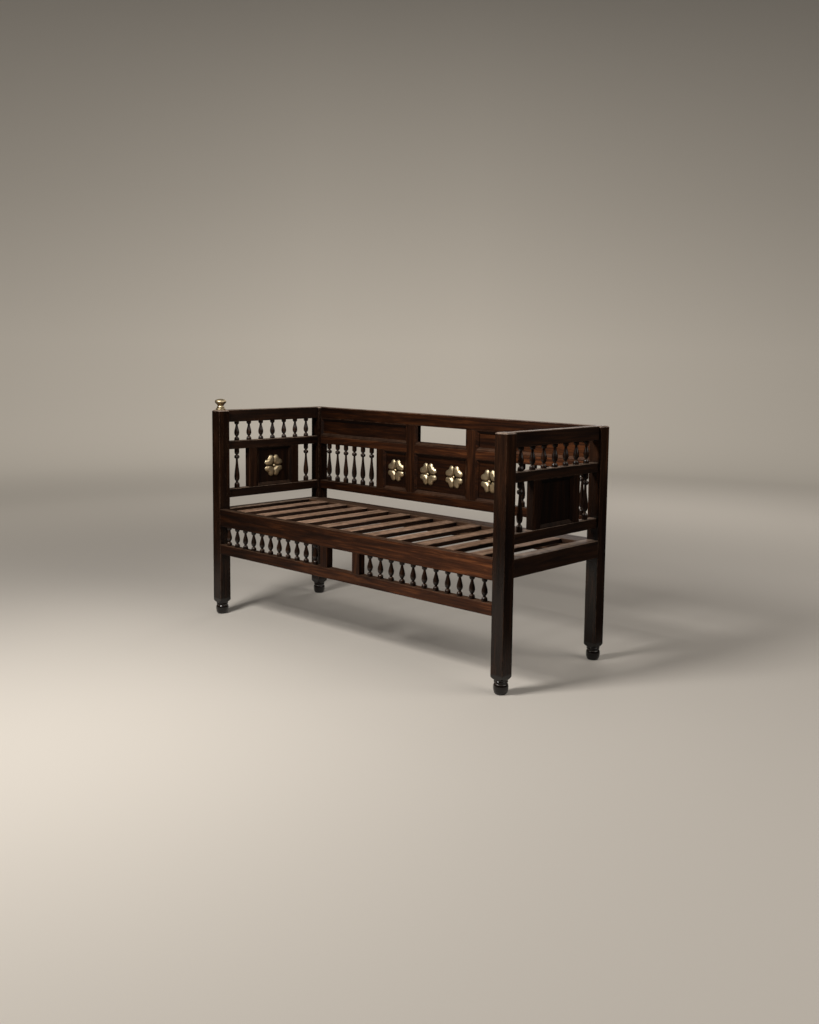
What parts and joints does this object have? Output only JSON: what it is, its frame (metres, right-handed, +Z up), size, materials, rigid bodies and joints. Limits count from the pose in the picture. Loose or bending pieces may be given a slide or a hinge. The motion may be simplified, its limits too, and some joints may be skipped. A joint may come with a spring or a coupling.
{
  "type": "slatted hardwood settee",
  "caption": "Slatted dark hardwood settee with open arms and back, square posts on turned feet, turned spindles, framed panels, brass rosettes and a brass finial.",
  "frame": {"origin": "on the floor, under the middle of the settee's length and depth", "axes": "+X along the length towards the sitter's left arm, -Y out of the front, +Z up"},
  "size_m": [1.561, 0.5858, 0.901],
  "materials": {
    "dark_wood": "satin polish over dark reddish-brown hardwood",
    "aged_brass": "satin, aged"
  },
  "bodies": {
    "root": {"post_front_left": "dark_wood", "post_front_right": "dark_wood", "post_back_left": "dark_wood", "post_back_right": "dark_wood", "finial": "aged_brass", "seat_front_rail": "dark_wood", "seat_back_rail": "dark_wood", "seat_side_rail_left": "dark_wood", "seat_side_rail_right": "dark_wood", "seat_front_support": "dark_wood", "seat_back_support": "dark_wood", "seat_back_board": "dark_wood", "slat_1": "dark_wood", "slat_2": "dark_wood", "slat_3": "dark_wood", "slat_4": "dark_wood", "slat_5": "dark_wood", "slat_6": "dark_wood", "slat_7": "dark_wood", "slat_8": "dark_wood", "slat_9": "dark_wood", "slat_10": "dark_wood", "slat_11": "dark_wood", "apron_rail": "dark_wood", "apron_stile_left": "dark_wood", "apron_stile_right": "dark_wood", "apron_spindles_left": "dark_wood", "apron_spindles_right": "dark_wood", "arm_top_rail_left": "dark_wood", "arm_top_rail_right": "dark_wood", "arm_mid_rail_left": "dark_wood", "arm_mid_rail_right": "dark_wood", "arm_lower_rail_left": "dark_wood", "arm_lower_rail_right": "dark_wood", "arm_stiles_left": "dark_wood", "arm_stiles_right": "dark_wood", "arm_panel_left": "dark_wood", "arm_panel_right": "dark_wood", "arm_mouldings_left": "dark_wood", "arm_mouldings_right": "dark_wood", "arm_short_spindles_left": "dark_wood", "arm_short_spindles_right": "dark_wood", "arm_tall_spindles_left": "dark_wood", "arm_tall_spindles_right": "dark_wood", "back_top_rail": "dark_wood", "back_lower_rail": "dark_wood", "back_mid_rail_left": "dark_wood", "back_mid_rail_centre": "dark_wood", "back_mid_rail_right": "dark_wood", "back_stile_left": "dark_wood", "back_stile_right": "dark_wood", "back_short_stiles": "dark_wood", "back_upper_panels": "dark_wood", "back_lower_panels": "dark_wood", "back_upper_mouldings": "dark_wood", "back_lower_mouldings": "dark_wood", "back_spindles_left": "dark_wood", "back_spindles_right": "dark_wood", "rosettes": "aged_brass", "rosette_nails": "aged_brass"}
  },
  "joints": []
}
